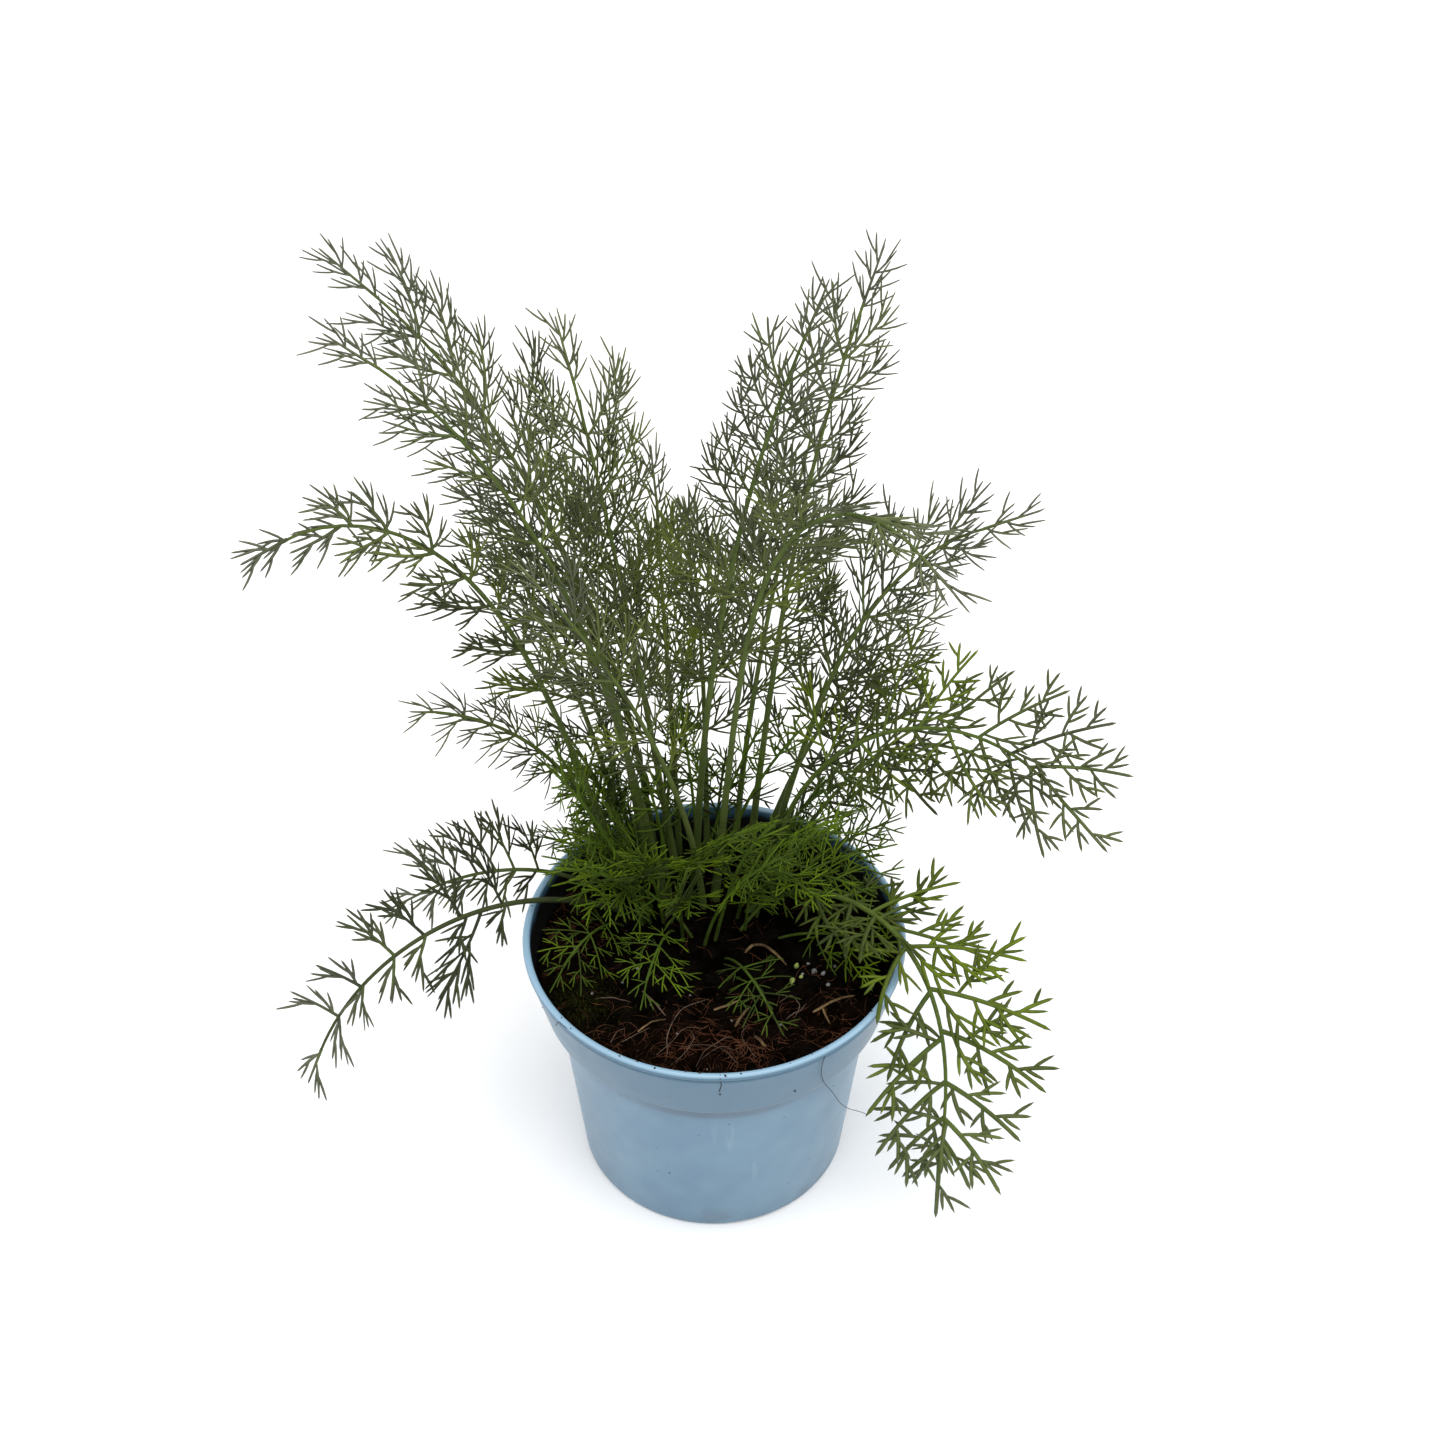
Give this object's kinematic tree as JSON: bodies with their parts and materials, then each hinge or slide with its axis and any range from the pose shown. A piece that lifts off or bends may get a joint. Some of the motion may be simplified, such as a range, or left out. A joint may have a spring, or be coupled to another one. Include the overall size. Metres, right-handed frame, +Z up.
{
  "type": "potted fennel",
  "caption": "Round tapered nursery pot filled with compost, holding a tuft of feathery, finely cut herb leaves, some upright and some arching out over the rim.",
  "frame": {"origin": "centre of the pot's flat underside", "axes": "+Z up along the pot's axis, -Y the front as pictured, +X to the right of that view"},
  "size_m": [0.2667, 0.2116, 0.3337],
  "materials": {
    "pot_plastic": "satin moulded plastic",
    "compost": "dark fibrous compost",
    "fine_leaf": "dull dark green leaf",
    "coarse_leaf": "bright green leaf"
  },
  "bodies": {
    "root": {"pot": "pot_plastic", "soil": "compost", "frond_tall_left": "fine_leaf", "frond_tall_left_front": "fine_leaf", "frond_tall_centre_left": "fine_leaf", "frond_arching_left": "fine_leaf", "frond_low_left": "fine_leaf", "frond_drooping_left": "coarse_leaf", "frond_drooping_left_back": "fine_leaf", "frond_tall_right": "fine_leaf", "frond_tall_right_back": "fine_leaf", "frond_leaning_right": "fine_leaf", "frond_arching_right": "fine_leaf", "frond_spreading_right": "coarse_leaf", "frond_low_right": "coarse_leaf", "frond_drooping_right": "coarse_leaf", "frond_centre_back": "fine_leaf", "frond_centre_front": "fine_leaf", "frond_inner_left": "fine_leaf", "frond_inner_right": "fine_leaf", "frond_back_left": "fine_leaf", "frond_back": "fine_leaf", "frond_back_right": "fine_leaf", "frond_young_left": "coarse_leaf", "frond_young_front_left": "coarse_leaf", "frond_young_front": "coarse_leaf", "frond_young_right": "coarse_leaf", "frond_young_centre": "coarse_leaf", "frond_young_inner": "coarse_leaf"}
  },
  "joints": []
}
